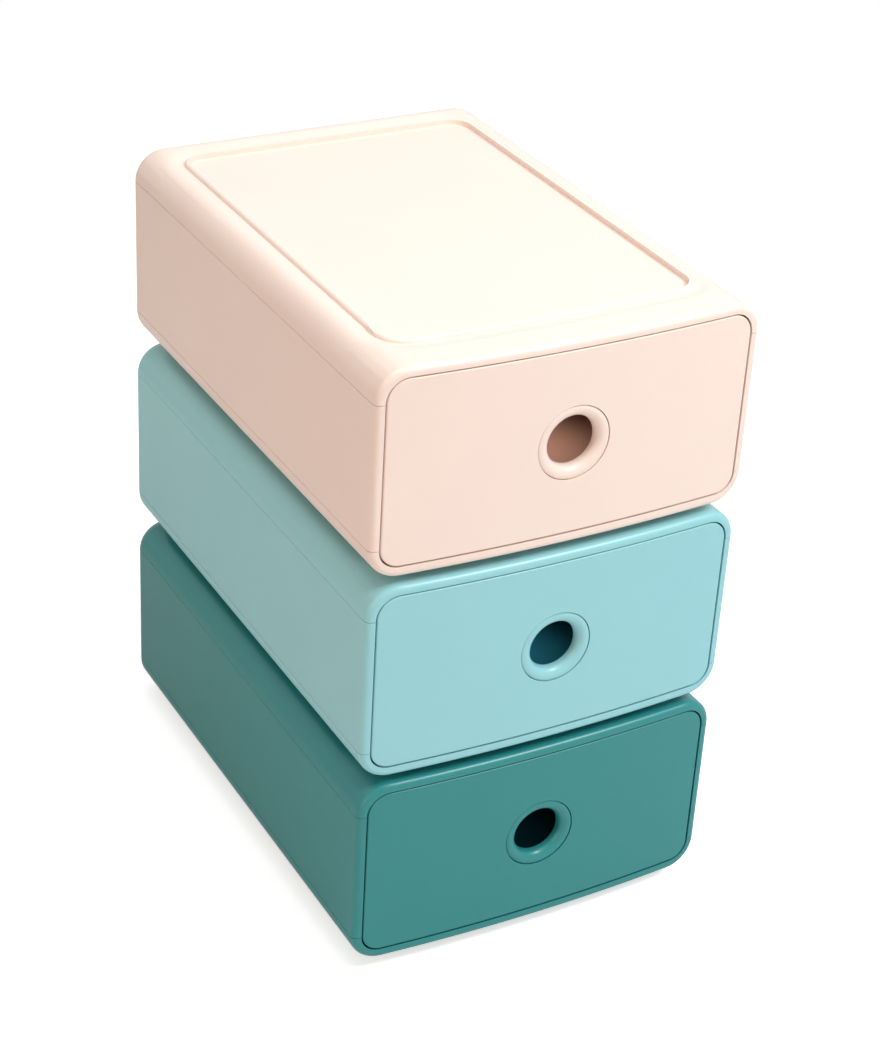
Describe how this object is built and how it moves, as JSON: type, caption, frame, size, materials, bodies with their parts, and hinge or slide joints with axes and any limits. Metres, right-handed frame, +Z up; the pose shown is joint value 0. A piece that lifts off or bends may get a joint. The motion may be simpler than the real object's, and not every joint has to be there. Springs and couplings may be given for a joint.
{
  "type": "stackable drawer box",
  "caption": "Stack of identical low drawer boxes: bowed front with rolled rim, round finger ring in each drawer, sunk tray on top and nesting feet.",
  "frame": {"origin": "centre of the bounding box on the resting plane, under the lowest rubber pads", "axes": "+X to the right seen from the front, +Y from the bowed fronts to the back, +Z up"},
  "size_m": [0.1916, 0.273, 0.3187],
  "materials": {
    "teal_plastic": "satin moulded",
    "turquoise_plastic": "satin moulded",
    "pink_plastic": "satin moulded",
    "foot_rubber": "matt"
  },
  "bodies": {
    "lower_case": {"lower_base": "teal_plastic", "lower_side_left": "teal_plastic", "lower_side_right": "teal_plastic", "lower_back": "teal_plastic", "lower_cover": "teal_plastic", "lower_feet": "foot_rubber"},
    "lower_drawer": {"lower_tub": "teal_plastic", "lower_front": "teal_plastic", "lower_ring": "teal_plastic"},
    "middle_case": {"middle_base": "turquoise_plastic", "middle_side_left": "turquoise_plastic", "middle_side_right": "turquoise_plastic", "middle_back": "turquoise_plastic", "middle_cover": "turquoise_plastic", "middle_feet": "foot_rubber"},
    "middle_drawer": {"middle_tub": "turquoise_plastic", "middle_front": "turquoise_plastic", "middle_ring": "turquoise_plastic"},
    "upper_case": {"upper_base": "pink_plastic", "upper_side_left": "pink_plastic", "upper_side_right": "pink_plastic", "upper_back": "pink_plastic", "upper_cover": "pink_plastic", "upper_feet": "foot_rubber"},
    "upper_drawer": {"upper_tub": "pink_plastic", "upper_front": "pink_plastic", "upper_ring": "pink_plastic"}
  },
  "joints": [
    {"name": "lower_drawer_slide", "type": "slide", "parent": "lower_case", "child": "lower_drawer", "axis": [0, -1, 0], "range_m": [0, 0.2]},
    {"name": "middle_drawer_slide", "type": "slide", "parent": "middle_case", "child": "middle_drawer", "axis": [0, -1, 0], "range_m": [0, 0.2]},
    {"name": "upper_drawer_slide", "type": "slide", "parent": "upper_case", "child": "upper_drawer", "axis": [0, -1, 0], "range_m": [0, 0.2]},
    {"name": "middle_lift", "type": "slide", "parent": "lower_case", "child": "middle_case", "axis": [0, 0, 1], "range_m": [0, 0.12]},
    {"name": "upper_lift", "type": "slide", "parent": "middle_case", "child": "upper_case", "axis": [0, 0, 1], "range_m": [0, 0.12]}
  ]
}
